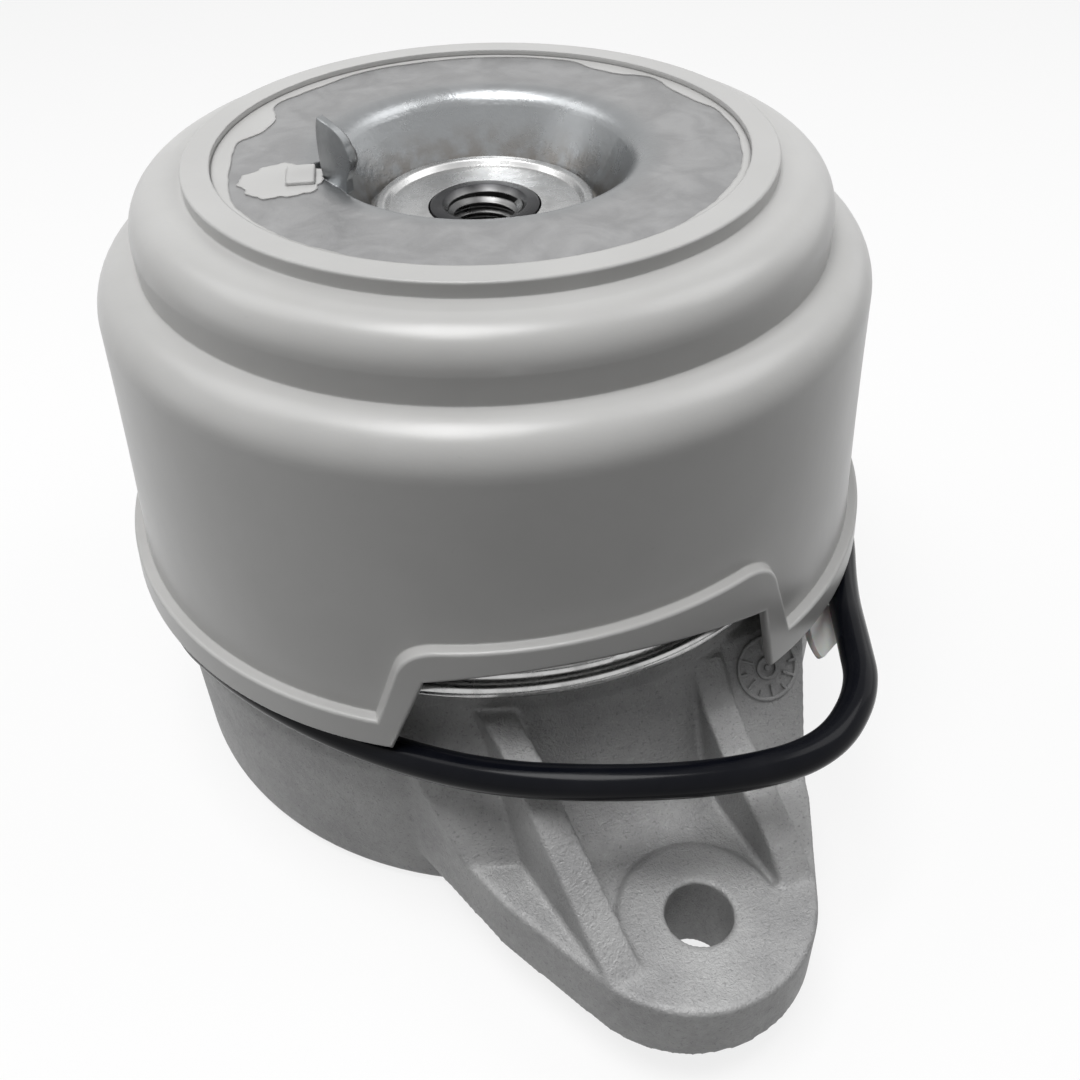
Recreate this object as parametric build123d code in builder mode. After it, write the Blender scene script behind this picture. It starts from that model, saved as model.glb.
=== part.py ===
from build123d import *
import math
import os

os.makedirs("parts", exist_ok=True)

# Frame: millimetres, +Z up, the axis of the mount is Z, the ear points along -Y,
# and Z = 0 is the seating face under the cast bowl.

# Can, which the casting, the cap and the inner pieces follow
can_radius = 57.0
can_wall = 2.0
can_height = 42.5
can_lip = 5.0
can_corner_radius = 3.0
can_rim_overhang = 2.4
can_rim_radius = can_radius + can_rim_overhang
can_rim_height = 2.6
can_rim_roll = 1.1
fit_clearance = 0.1

# Cast bowl, collar and cup
collar_overhang = 1.4
collar_radius = can_radius + collar_overhang
shoulder_width = 5.1
bowl_radius = collar_radius + shoulder_width
bowl_edge_radius = 3.0
shoulder_height = 30.0
collar_foot = 41.9
collar_band = 3.6
collar_top = collar_foot + collar_band
can_top = collar_top + can_height
cup_ledge_depth = 3.5
cup_radius = 49.0
cup_draft = 2.0
cup_floor = 8.0
cup_floor_radius = 4.0

# Cored underside of the casting
core_out_rim = 4.5
core_out_width = 6.0
core_out_outer = bowl_radius - core_out_rim
core_out_inner = core_out_outer - core_out_width
core_out_depth = 26.0
core_out_draft = 2.0
core_out_ribs = 8
core_out_rib_width = 4.0

# Tapped boss at the back of the underside
boss_reach = 55.0
boss_radius = 7.5
boss_hole_radius = 4.25
boss_hole_depth = 18.0

# Ear
ear_end = 82.2
ear_end_radius = 20.65
ear_bottom = 9.0
ear_thickness = 12.0
ear_top = ear_bottom + ear_thickness
ear_draft = 1.5
ear_edge_radius = 0.7
ear_hole_reach = 87.2
ear_hole_radius = 5.3
ear_pad_radius = 12.5
ear_floor_drop = 0.8
ear_floor = ear_top - ear_floor_drop
bracket_corner = (27.2, -74.9)
bracket_flare = (35.5, -52.5)
bracket_back = 40.0
bracket_corner_radius = 4.0

# Webs and ribs between the collar and the ear
flank_slope = 0.68
middle_slope = 0.43
middle_blend = 10.5
right_slope = 1.36
right_blend = 4.0
right_web_crest = (-55.4, 42.6)
rib_draft = 4.0
rib_seat = 3.0
rib_root_width = 9.2
rib_foot_width = 6.0
left_rib_root = (-21.4, -50.0)
left_rib_foot = (-14.6, -93.4)
left_rib_crest = [(-48, 42.3), (-57, 42.3), (-65, 39.4), (-74, 33.0), (-87, 24.4), (-94.5, 20.0)]
right_rib_root = (15.0, -50.0)
right_rib_foot = (17.0, -89.2)
right_rib_crest = [(-48, 41.8), (-57, 41.4), (-62.6, 35.2), (-69, 31.2), (-76.5, 28.8), (-84, 24.8), (-90, 19.6)]

# Nozzle plates, membrane and bellows
bead_height = 1.8
bead_width = 4.6
lower_plate_thickness = 2.6
upper_plate_thickness = 4.2
channel_inner = 40.0
channel_outer = 47.0
channel_depth = 2.4
channel_stop_width = 8.0
port_radius = 2.6
window_count = 8
window_radius = 2.4
window_circle = 14.0
membrane_radius = 22.0
membrane_thickness = 2.2
membrane_play = 0.4
rivet_radius = 1.6
rivet_head_radius = 2.8
rivet_head_height = 0.8
rivet_circle = 30.0
rivet_count = 4
bellows_wall = 1.7
bellows_outer = 46.5
bellows_roll = 9.0
bellows_drop = 12.0
bellows_rise = 3.0
bead_ring_radius = 0.9

# Bonding ring, rubber spring and core
ring_wall = 2.6
seal_width = 2.0
seal_height = 1.4
core_top_radius = 21.0
core_bottom_radius = 13.0
core_rim_height = 3.2
core_bottom = 62.0
core_edge_radius = 2.5
spring_top_on_core = 5.0
spring_bottom_on_core = 2.0
spring_top_on_ring = 11.0
spring_bottom_on_ring = 4.0
spring_upper_sag = 0.5
spring_lower_rise = 9.0
buffer_inset = 2.7
buffer_width = 3.8
buffer_outer = can_radius - buffer_inset
buffer_inner = buffer_outer - buffer_width
buffer_height = 5.6

# Top plate, seat washer and insert
cap_rise = 21.5
total_height = can_top + cap_rise
plate_radius = 43.5
plate_thickness = 2.0
plate_drop = 1.0
plate_top = total_height - plate_drop
funnel_lip_radius = 27.2
funnel_lip_bend = 4.2
funnel_wall_angle = 26.0
funnel_depth = 11.5
funnel_floor = plate_top - funnel_depth
funnel_foot_radius = 1.4
tang_place = (-24.7, -3.8)
tang_turn = -47.8
tang_height = 8.9
tang_width = 5.4
tang_wall = 1.3
tang_curve_radius = 4.2
slot_place = (-24.4, 1.6)
slot_length = 5.6
slot_width = 4.4
washer_radius = 17.7
washer_thickness = 1.7
washer_lip_height = 0.9
washer_lip_width = 1.5
insert_radius = 9.05
insert_proud = 0.4
insert_bottom = 66.0
insert_edge = 0.7
thread_minor_radius = 5.1
thread_chamfer = 1.15
thread_depth = 27.0

# Protective cap
cap_wall = 1.6
cap_ring_inner = 41.4
cap_ring_outer = 46.0
cap_ring_edge = 2.1
cap_ring_round = 0.35
cap_lip_reach = 1.9
upper_bulge_radius = 5.9
upper_bulge_inset = 7.8
upper_bulge_drop = 8.2
upper_bulge_centre = (can_radius - upper_bulge_inset, total_height - upper_bulge_drop)
lower_bulge_radius = 7.0
lower_bulge_inset = 1.5
lower_bulge_drop = 19.5
lower_bulge_centre = (can_radius - lower_bulge_inset, total_height - lower_bulge_drop)
rim_edge = 43.0
rim_step = 1.9
rim_band = 5.2
skirt_waist_gap = 6.65
skirt_waist_height = 28.5
skirt_foot_gap = 9.0
skirt_middle = (can_radius + skirt_waist_gap, rim_edge + skirt_waist_height)
skirt_foot = (can_radius + skirt_foot_gap, rim_edge)
notch_turn = -5.5
notch_left_foot = -31.7
notch_right_foot = 29.1
notch_left_top = (-26.1, 57.2)
notch_right_top = (26.3, 56.2)
notch_crown = 59.8
strip_left_top = (-28.4, 62.9)
strip_right_top = (27.0, 65.8)
strip_left_foot = -36.9
strip_right_foot = 36.4
strip_corner_radius = 6.5
strip_edge_radius = 0.5

# Hose, nipples, clamps and guide tab
hose_radius = 2.7
nipple_height = 38.0
nipple_standoff = 1.3
nipple_reach = bowl_radius + nipple_standoff
nipple_turn = 100.0
nipple_barrel = 7.0
nipple_stem_radius = 2.6
nipple_seat_depth = 8.0
nipple_body_radius = 3.3
nipple_body_height = 3.6
nipple_body_round = 0.6
nipple_boss_radius = 5.6
nipple_boss_gap = 0.9
nipple_bore_radius = 1.2
clamp_wall = 0.6
clamp_width = 4.0
clamp_inset = 2.0
tab_turn = 36.7
tab_wall = 1.2
tab_top_width = 7.6
tab_tip_width = 3.2
tab_drop = 5.2
tab_grip = 3.4
tab_clearance = 0.4
hose_points = [
    (64.6, -15.0, 38.0),
    (56.4, -34.0, 38.2),
    (46.2, -50.0, 39.0),
    (39.8, -62.6, 41.5),
    (34.2, -73.8, 43.0),
    (22.6, -81.6, 42.8),
    (7.0, -80.2, 42.7),
    (-9.5, -74.6, 42.6),
    (-25.6, -65.8, 41.2),
    (-38.6, -53.4, 39.2),
    (-49.3, -40.4, 38.4),
    (-57.6, -27.0, 38.2),
    (-63.6, -12.8, 38.1),
]


def polar(radius, turn):
    """Place in plan at a radius, turned from the ear's direction towards +X in degrees."""
    angle = math.radians(turn)
    return (radius * math.sin(angle), -radius * math.cos(angle))


def near(shapes, *place):
    """The one of the shapes that lies nearest to a place."""
    return shapes.sort_by_distance(place)[0]


def bracket_plan(growth=0.0):
    """Plan of the bracket: the round end, the two corners and the flare towards the bowl."""
    corner_x, corner_y = bracket_corner
    flare_x, flare_y = bracket_flare
    with BuildSketch(mode=Mode.PRIVATE) as plan:
        with Locations((0, -ear_end)):
            Circle(ear_end_radius + growth)
        with BuildLine():
            Polyline(
                (-flare_x, -bracket_back),
                (-flare_x, flare_y),
                (-corner_x - growth, corner_y),
                (corner_x + growth, corner_y),
                (flare_x, flare_y),
                (flare_x, -bracket_back),
                close=True,
            )
        make_face()
        make_hull()
        for side in (-1, 1):
            fillet(near(plan.vertices(), side * (corner_x + growth), corner_y, 0), bracket_corner_radius)
    return plan.sketch


def bracket_region(left, right):
    """Plan region between two lines, each given by its root and its foot."""
    with BuildSketch(mode=Mode.PRIVATE) as region:
        with BuildLine():
            Polyline((left[0][0], -bracket_back), left[1], right[1], (right[0][0], -bracket_back), close=True)
        make_face()
    return region.sketch


# Webs from the collar down to the ear plate, left of, between and right of the ribs
far_left = ((-60, 0), (-60, -110))
far_right = ((60, 0), (60, -110))
left_line = (left_rib_root, left_rib_foot)
right_line = (right_rib_root, right_rib_foot)
web_height = collar_top - ear_bottom
collar_rise = collar_foot - ear_floor

with BuildPart() as left_web:
    with BuildSketch(Plane.XZ):
        with BuildLine():
            Polyline(
                (cup_radius, ear_bottom),
                (collar_radius + collar_rise * flank_slope, ear_bottom),
                (collar_radius + collar_rise * flank_slope, ear_floor),
                (collar_radius, collar_foot),
                (cup_radius, collar_foot),
                close=True,
            )
        make_face()
    revolve(axis=Axis.Z)
    with BuildSketch(Plane.XY.offset(ear_bottom)):
        add(bracket_plan())
        add(bracket_region(far_left, left_line), mode=Mode.INTERSECT)
    extrude(amount=web_height, mode=Mode.INTERSECT)

with BuildPart() as middle_web:
    with BuildSketch(Plane.XZ) as middle_section:
        with BuildLine():
            Polyline(
                (cup_radius, ear_bottom),
                (ear_end, ear_bottom),
                (ear_end, ear_floor),
                (collar_radius + collar_rise * middle_slope, ear_floor),
                (collar_radius, collar_foot),
                (cup_radius, collar_foot),
                close=True,
            )
        make_face()
        web_corner = near(middle_section.vertices(), collar_radius + collar_rise * middle_slope, ear_floor, 0)
        fillet(web_corner, middle_blend)
    revolve(axis=Axis.Z)
    with BuildSketch(Plane.XY.offset(ear_bottom)):
        add(bracket_plan())
        add(bracket_region(left_line, right_line), mode=Mode.INTERSECT)
    extrude(amount=web_height, mode=Mode.INTERSECT)

with BuildPart() as right_web:
    web_foot_y = right_web_crest[0] - (right_web_crest[1] - ear_top) / right_slope
    with BuildSketch(Plane.YZ) as right_section:
        with BuildLine():
            Polyline(
                (-bracket_back, ear_bottom),
                (-ear_end, ear_bottom),
                (-ear_end, ear_top),
                (web_foot_y, ear_top),
                right_web_crest,
                (-bracket_back, right_web_crest[1]),
                close=True,
            )
        make_face()
        fillet(near(right_section.vertices(), web_foot_y, ear_top, 0), right_blend)
    extrude(amount=bracket_flare[0])
    with BuildSketch(Plane.XY.offset(ear_bottom)):
        add(bracket_plan())
        add(bracket_region(right_line, far_right), mode=Mode.INTERSECT)
    extrude(amount=web_height, mode=Mode.INTERSECT)


def rib(root, foot, crest):
    """One drafted rib on the ear plate, cut to its crest line."""
    run = math.dist(root, foot)
    across = ((foot[1] - root[1]) / run, (root[0] - foot[0]) / run)

    def side(point, half):
        return (point[0] + across[0] * half, point[1] + across[1] * half)

    with BuildPart(mode=Mode.PRIVATE) as body:
        with BuildSketch(Plane.XY.offset(ear_top - rib_seat)):
            with BuildLine():
                Polyline(
                    side(root, rib_root_width / 2),
                    side(foot, rib_foot_width / 2),
                    side(foot, -rib_foot_width / 2),
                    side(root, -rib_root_width / 2),
                    close=True,
                )
            make_face()
        extrude(amount=collar_top - ear_top + rib_seat, taper=rib_draft)
        with BuildSketch(Plane.YZ.offset(-bracket_back)):
            with BuildLine():
                Polyline((crest[0][0], ear_bottom), *crest, (crest[-1][0], ear_bottom), close=True)
            make_face()
        extrude(amount=2 * bracket_back, mode=Mode.INTERSECT)
    return body.part


left_rib = rib(left_rib_root, left_rib_foot, left_rib_crest)
right_rib = rib(right_rib_root, right_rib_foot, right_rib_crest)

# Ear plate, with its floor sunk between the ribs behind the round pad
with BuildPart() as ear_plate:
    with BuildSketch(Plane.XY.offset(ear_bottom)):
        add(bracket_plan(ear_thickness * math.tan(math.radians(ear_draft))))
    extrude(amount=ear_thickness, taper=ear_draft)
    fillet(ear_plate.faces().sort_by(Axis.Z)[-1].edges(), ear_edge_radius)
    with BuildSketch(Plane.XY.offset(ear_top)):
        add(bracket_region(left_line, right_line))
        with Locations((0, -ear_hole_reach)):
            Circle(ear_pad_radius, mode=Mode.SUBTRACT)
            Rectangle(2 * ear_end_radius, 2 * ear_end_radius, align=(Align.CENTER, Align.MAX), mode=Mode.SUBTRACT)
    extrude(amount=-ear_floor_drop, mode=Mode.SUBTRACT)

# Core-out ring under the bowl, left open between radial ribs
with BuildPart() as core_out:
    with BuildSketch(Plane.XZ):
        with BuildLine():
            Polyline(
                (core_out_inner, 0),
                (core_out_outer, 0),
                (core_out_outer - core_out_draft, core_out_depth),
                (core_out_inner + core_out_draft, core_out_depth),
                close=True,
            )
        make_face()
    revolve(axis=Axis.Z)
    with BuildSketch(Plane.XY):
        with PolarLocations(0, core_out_ribs):
            Rectangle(2 * bowl_radius, core_out_rib_width)
        with Locations((0, boss_reach)):
            Circle(boss_radius)
    extrude(amount=core_out_depth, mode=Mode.SUBTRACT)

# Base casting
ledge_height = collar_top - cup_ledge_depth
cup_seat_radius = can_radius - can_wall - fit_clearance
nipple_sides = {"air_nipple": 1, "vent_nipple": -1}


def nipple_plane(side):
    """Plane on the axis at nipple height, looking out along the nipple's stem."""
    out_x, out_y = polar(1, side * nipple_turn)
    return Plane(origin=(0, 0, nipple_height), x_dir=(-out_y, out_x, 0), z_dir=(out_x, out_y, 0))


with BuildPart() as base_casting:
    with BuildSketch(Plane.XZ) as bowl_section:
        with BuildLine():
            Polyline(
                (0, 0),
                (bowl_radius, 0),
                (bowl_radius, shoulder_height),
                (collar_radius, collar_foot),
                (collar_radius, collar_top),
                (0, collar_top),
                close=True,
            )
        make_face()
        fillet(near(bowl_section.vertices(), bowl_radius, 0, 0), bowl_edge_radius)
        fillet(near(bowl_section.vertices(), bowl_radius, shoulder_height, 0), bowl_edge_radius)
    revolve(axis=Axis.Z)
    add(ear_plate.part)
    add(left_web.part)
    add(middle_web.part)
    add(right_web.part)
    add(left_rib)
    add(right_rib)
    for side in nipple_sides.values():
        with BuildSketch(nipple_plane(side).offset(cup_radius)):
            Circle(nipple_boss_radius)
        extrude(amount=nipple_reach - nipple_body_radius - nipple_boss_gap - cup_radius)
    with BuildSketch(Plane.XZ) as cup_section:
        with BuildLine():
            Polyline(
                (0, cup_floor),
                (cup_radius - cup_draft, cup_floor),
                (cup_radius, ledge_height),
                (cup_seat_radius, ledge_height),
                (cup_seat_radius, collar_top),
                (0, collar_top),
                close=True,
            )
        make_face()
        fillet(near(cup_section.vertices(), cup_radius - cup_draft, cup_floor, 0), cup_floor_radius)
    revolve(axis=Axis.Z, mode=Mode.SUBTRACT)
    add(core_out.part, mode=Mode.SUBTRACT)
    with BuildSketch(Plane.XY):
        with Locations((0, boss_reach)):
            Circle(boss_hole_radius)
    extrude(amount=boss_hole_depth, mode=Mode.SUBTRACT)
    with BuildSketch(Plane.XY.offset(ear_bottom)):
        with Locations((0, -ear_hole_reach)):
            Circle(ear_hole_radius)
    extrude(amount=ear_thickness, mode=Mode.SUBTRACT)
    for side in nipple_sides.values():
        with BuildSketch(nipple_plane(side).offset(nipple_reach)):
            Circle(nipple_stem_radius)
        extrude(amount=-nipple_reach + cup_radius, mode=Mode.SUBTRACT)

base_casting.part.label = "base_casting"
export_step(base_casting.part, "parts/base_casting.step")

# Bellows with its beaded edge, and the steel ring inside the bead
bead_outer = cup_seat_radius - fit_clearance
bead_inner = bead_outer - bead_width
bead_top = ledge_height + bead_height
with BuildPart() as bellows:
    roll_top = ledge_height - bellows_drop
    crown_height = roll_top + bellows_rise
    roll_centre = bellows_outer - bellows_roll / 2
    with BuildSketch(Plane.XZ):
        with Locations((bead_outer, ledge_height)):
            Rectangle(bead_width, bead_height, align=(Align.MAX, Align.MIN))
        with BuildLine():
            outer_wall = Line((bellows_outer, bead_top), (bellows_outer, roll_top))
            outer_roll = CenterArc((roll_centre, roll_top), bellows_roll / 2, 0, -180)
            inner_wall = Line(outer_roll @ 1, (roll_centre - bellows_roll / 2, crown_height))
            crown = Line(inner_wall @ 1, (0, crown_height))
            crown_top = Line(crown @ 1, (0, crown_height + bellows_wall))
            crown_back = Line(crown_top @ 1, (roll_centre - bellows_roll / 2 + bellows_wall, crown_height + bellows_wall))
            inner_back = Line(crown_back @ 1, (roll_centre - bellows_roll / 2 + bellows_wall, roll_top))
            roll_back = CenterArc((roll_centre, roll_top), bellows_roll / 2 - bellows_wall, 180, 180)
            wall_back = Line(roll_back @ 1, (bellows_outer - bellows_wall, bead_top))
            Line(wall_back @ 1, outer_wall @ 0)
        make_face()
        with BuildLine():
            Polyline(
                (bellows_outer - bellows_wall, bead_top),
                (bellows_outer - bellows_wall, bead_top - bellows_wall),
                (bead_outer, bead_top - bellows_wall),
                (bead_outer, bead_top),
                close=True,
            )
        make_face()
    revolve(axis=Axis.Z)
    bead_middle = (bead_outer + bead_inner) / 2
    with BuildSketch(Plane.XZ):
        with Locations((bead_middle, ledge_height + bead_height / 2)):
            Rectangle(2 * bead_ring_radius, bead_ring_radius)
    revolve(axis=Axis.Z, mode=Mode.SUBTRACT)
bellows.part.label = "bellows"
export_step(bellows.part, "parts/bellows.step")

with BuildPart() as bellows_ring:
    with BuildSketch(Plane.XZ):
        with Locations((bead_middle, ledge_height + bead_height / 2)):
            Rectangle(2 * bead_ring_radius, bead_ring_radius)
    revolve(axis=Axis.Z)
bellows_ring.part.label = "bellows_ring"
export_step(bellows_ring.part, "parts/bellows_ring.step")

# Nozzle plates with the fluid channel, the decoupler windows and the rivet holes
nozzle_radius = cup_seat_radius - fit_clearance
plate_joint = bead_top + lower_plate_thickness
upper_plate_top = plate_joint + upper_plate_thickness
cavity_radius = membrane_radius + membrane_play
cavity_half = (membrane_thickness + membrane_play) / 2
port_circle = (channel_inner + channel_outer) / 2
port_spread = 14.0

with BuildPart() as lower_nozzle_plate:
    with BuildSketch(Plane.XY.offset(bead_top)):
        Circle(nozzle_radius)
        with PolarLocations(window_circle, window_count):
            Circle(window_radius, mode=Mode.SUBTRACT)
        Circle(window_radius, mode=Mode.SUBTRACT)
        with PolarLocations(rivet_circle, rivet_count, start_angle=45):
            Circle(rivet_radius, mode=Mode.SUBTRACT)
        with Locations(polar(port_circle, 180 - port_spread)):
            Circle(port_radius, mode=Mode.SUBTRACT)
    extrude(amount=lower_plate_thickness)
    with BuildSketch(Plane.XY.offset(plate_joint)):
        Circle(cavity_radius)
    extrude(amount=-cavity_half, mode=Mode.SUBTRACT)
lower_nozzle_plate.part.label = "lower_nozzle_plate"
export_step(lower_nozzle_plate.part, "parts/lower_nozzle_plate.step")

with BuildPart() as upper_nozzle_plate:
    with BuildSketch(Plane.XY.offset(plate_joint)):
        Circle(nozzle_radius)
        with PolarLocations(window_circle, window_count):
            Circle(window_radius, mode=Mode.SUBTRACT)
        Circle(window_radius, mode=Mode.SUBTRACT)
        with PolarLocations(rivet_circle, rivet_count, start_angle=45):
            Circle(rivet_radius, mode=Mode.SUBTRACT)
        with Locations(polar(port_circle, 180 + port_spread)):
            Circle(port_radius, mode=Mode.SUBTRACT)
    extrude(amount=upper_plate_thickness)
    with BuildSketch(Plane.XY.offset(plate_joint)):
        Circle(cavity_radius)
    extrude(amount=cavity_half, mode=Mode.SUBTRACT)
    with BuildSketch(Plane.XY.offset(plate_joint)):
        Circle(channel_outer)
        Circle(channel_inner, mode=Mode.SUBTRACT)
        with Locations((0, port_circle)):
            Rectangle(channel_stop_width, 2 * (channel_outer - channel_inner), mode=Mode.SUBTRACT)
    extrude(amount=channel_depth, mode=Mode.SUBTRACT)
    with BuildSketch(Plane.XY.offset(upper_plate_top)):
        Circle(nozzle_radius - seal_width)
        Circle(nozzle_radius - 2 * seal_width, mode=Mode.SUBTRACT)
    extrude(amount=-seal_height, mode=Mode.SUBTRACT)
upper_nozzle_plate.part.label = "upper_nozzle_plate"
export_step(upper_nozzle_plate.part, "parts/upper_nozzle_plate.step")

# Loose decoupler membrane, with a raised bead at its edge
with BuildPart() as decoupler_membrane:
    with BuildSketch(Plane.XY.offset(plate_joint - membrane_thickness / 2)):
        Circle(membrane_radius)
    extrude(amount=membrane_thickness)
    membrane_rims = decoupler_membrane.edges().filter_by(GeomType.CIRCLE)
    fillet(membrane_rims, membrane_thickness / 4)
decoupler_membrane.part.label = "decoupler_membrane"
export_step(decoupler_membrane.part, "parts/decoupler_membrane.step")

# Rivets through both plates
with BuildPart() as plate_rivets:
    rivet_length = upper_plate_top - bead_top
    with BuildSketch(Plane.XY.offset(bead_top)):
        with PolarLocations(rivet_circle, rivet_count, start_angle=45):
            Circle(rivet_radius)
    extrude(amount=rivet_length)
    with BuildSketch(Plane.XY.offset(upper_plate_top)):
        with PolarLocations(rivet_circle, rivet_count, start_angle=45):
            Circle(rivet_head_radius)
    extrude(amount=rivet_head_height)
    with BuildSketch(Plane.XY.offset(bead_top)):
        with PolarLocations(rivet_circle, rivet_count, start_angle=45):
            Circle(rivet_head_radius)
    extrude(amount=-rivet_head_height)
plate_rivets.part.label = "plate_rivets"
export_step(plate_rivets.part, "parts/plate_rivets.step")

# Seal in the groove of the upper plate
with BuildPart() as plate_seal:
    with BuildSketch(Plane.XY.offset(upper_plate_top - seal_height)):
        Circle(nozzle_radius - seal_width)
        Circle(nozzle_radius - 2 * seal_width, mode=Mode.SUBTRACT)
    extrude(amount=seal_height)
plate_seal.part.label = "plate_seal"
export_step(plate_seal.part, "parts/plate_seal.step")

# Steel can: rolled rim on the collar, upright wall and lip turned in over the bonding ring
can_inner = can_radius - can_wall
with BuildPart() as can:
    with BuildSketch(Plane.XZ) as can_section:
        with BuildLine():
            Polyline(
                (can_inner, collar_top),
                (can_rim_radius, collar_top),
                (can_rim_radius, collar_top + can_rim_height),
                (can_radius, collar_top + can_rim_height),
                (can_radius, can_top),
                (can_radius - can_lip - can_wall, can_top),
                (can_radius - can_lip - can_wall, can_top - can_wall),
                (can_inner, can_top - can_wall),
                close=True,
            )
        make_face()
        fillet(near(can_section.vertices(), can_rim_radius, collar_top, 0), can_rim_roll)
        fillet(near(can_section.vertices(), can_rim_radius, collar_top + can_rim_height, 0), can_rim_roll)
        fillet(near(can_section.vertices(), can_radius, collar_top + can_rim_height, 0), can_rim_roll)
        fillet(near(can_section.vertices(), can_radius, can_top, 0), can_corner_radius)
        fillet(near(can_section.vertices(), can_inner, can_top - can_wall, 0), can_corner_radius - can_wall)
    revolve(axis=Axis.Z)
can.part.label = "can"
export_step(can.part, "parts/can.step")

# Bonding ring inside the can
bond_outer = can_inner - fit_clearance
bond_inner = bond_outer - ring_wall
bond_bottom = upper_plate_top
bond_top = can_top - can_wall
with BuildPart() as bonding_ring:
    with BuildSketch(Plane.XY.offset(bond_bottom)):
        Circle(bond_outer)
        Circle(bond_inner, mode=Mode.SUBTRACT)
    extrude(amount=bond_top - bond_bottom)
    chamfer(bonding_ring.faces().sort_by(Axis.Z)[-1].outer_wire().edges(), can_corner_radius - can_wall)
bonding_ring.part.label = "bonding_ring"
export_step(bonding_ring.part, "parts/bonding_ring.step")

# Core: cone with a rim under the funnel floor and a blind bore for the insert
core_top = funnel_floor - plate_thickness
core_cone_top = core_top - core_rim_height
insert_seat = insert_bottom
with BuildPart() as core:
    with BuildSketch(Plane.XZ) as core_section:
        with BuildLine():
            Polyline(
                (0, core_bottom),
                (core_bottom_radius, core_bottom),
                (core_top_radius, core_cone_top),
                (core_top_radius, core_top),
                (insert_radius, core_top),
                (insert_radius, insert_seat),
                (0, insert_seat),
                close=True,
            )
        make_face()
        fillet(near(core_section.vertices(), core_bottom_radius, core_bottom, 0), core_edge_radius)
    revolve(axis=Axis.Z)
core.part.label = "core"
export_step(core.part, "parts/core.step")

# Rubber spring bonded between the core and the ring


def core_flank(height):
    """Radius of the core's cone at a height."""
    share = (height - core_bottom) / (core_cone_top - core_bottom)
    return core_bottom_radius + (core_top_radius - core_bottom_radius) * share


with BuildPart() as rubber_spring:
    upper_in = core_cone_top - spring_top_on_core
    lower_in = core_bottom + core_edge_radius + spring_bottom_on_core
    upper_out = bond_top - spring_top_on_ring
    lower_out = bond_bottom + spring_bottom_on_ring
    arch_radius = (core_flank(lower_in) + bond_inner) / 2
    with BuildSketch(Plane.XZ):
        with BuildLine():
            ThreePointArc(
                (core_flank(upper_in), upper_in),
                (arch_radius, (upper_in + upper_out) / 2 - spring_upper_sag),
                (bond_inner, upper_out),
            )
            Line((bond_inner, upper_out), (bond_inner, lower_out))
            ThreePointArc(
                (bond_inner, lower_out),
                (arch_radius, (lower_in + lower_out) / 2 + spring_lower_rise),
                (core_flank(lower_in), lower_in),
            )
            Line((core_flank(lower_in), lower_in), (core_flank(upper_in), upper_in))
        make_face()
    revolve(axis=Axis.Z)
rubber_spring.part.label = "rubber_spring"
export_step(rubber_spring.part, "parts/rubber_spring.step")

# Stop buffer on top of the can
with BuildPart() as stop_buffer:
    with BuildSketch(Plane.XY.offset(can_top)):
        Circle(buffer_outer)
        Circle(buffer_inner, mode=Mode.SUBTRACT)
    extrude(amount=buffer_height)
    fillet(stop_buffer.faces().sort_by(Axis.Z)[-1].edges(), (buffer_outer - buffer_inner) / 4)
stop_buffer.part.label = "stop_buffer"
export_step(stop_buffer.part, "parts/stop_buffer.step")

# Top plate: flat rim, funnel and lanced tang
wall_turn = math.radians(90 - funnel_wall_angle)
bend_centre = (funnel_lip_radius, plate_top - funnel_lip_bend)


def funnel_side(inset):
    """Top or bottom line of the plate: the bend's end and the foot of the sloped wall."""
    bend = funnel_lip_bend - inset
    bend_end = (bend_centre[0] - bend * math.sin(wall_turn), bend_centre[1] + bend * math.cos(wall_turn))
    fall = bend_end[1] - (funnel_floor - inset)
    foot = (bend_end[0] - fall * math.tan(math.radians(funnel_wall_angle)), funnel_floor - inset)
    return bend_end, foot


upper_bend, upper_foot = funnel_side(0)
under_bend, under_foot = funnel_side(plate_thickness)
hole_radius = insert_radius + fit_clearance

with BuildPart() as top_plate:
    with BuildSketch(Plane.XZ) as plate_section:
        with BuildLine():
            Line((plate_radius, plate_top), (funnel_lip_radius, plate_top))
            CenterArc(bend_centre, funnel_lip_bend, 90, 90 - funnel_wall_angle)
            Line(upper_bend, upper_foot)
            Line(upper_foot, (hole_radius, funnel_floor))
            Line((hole_radius, funnel_floor), (hole_radius, funnel_floor - plate_thickness))
            Line((hole_radius, funnel_floor - plate_thickness), under_foot)
            Line(under_foot, under_bend)
            CenterArc(bend_centre, funnel_lip_bend - plate_thickness, 180 - funnel_wall_angle, funnel_wall_angle - 90)
            Line((funnel_lip_radius, plate_top - plate_thickness), (plate_radius, plate_top - plate_thickness))
            Line((plate_radius, plate_top - plate_thickness), (plate_radius, plate_top))
        make_face()
        fillet(near(plate_section.vertices(), *upper_foot, 0), funnel_foot_radius)
        fillet(near(plate_section.vertices(), *under_foot, 0), funnel_foot_radius)
    revolve(axis=Axis.Z)
    with BuildSketch(Plane.XY.offset(plate_top)):
        with Locations(Location(slot_place, tang_turn)):
            Rectangle(slot_length, slot_width)
    extrude(amount=-plate_thickness, mode=Mode.SUBTRACT)

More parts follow.
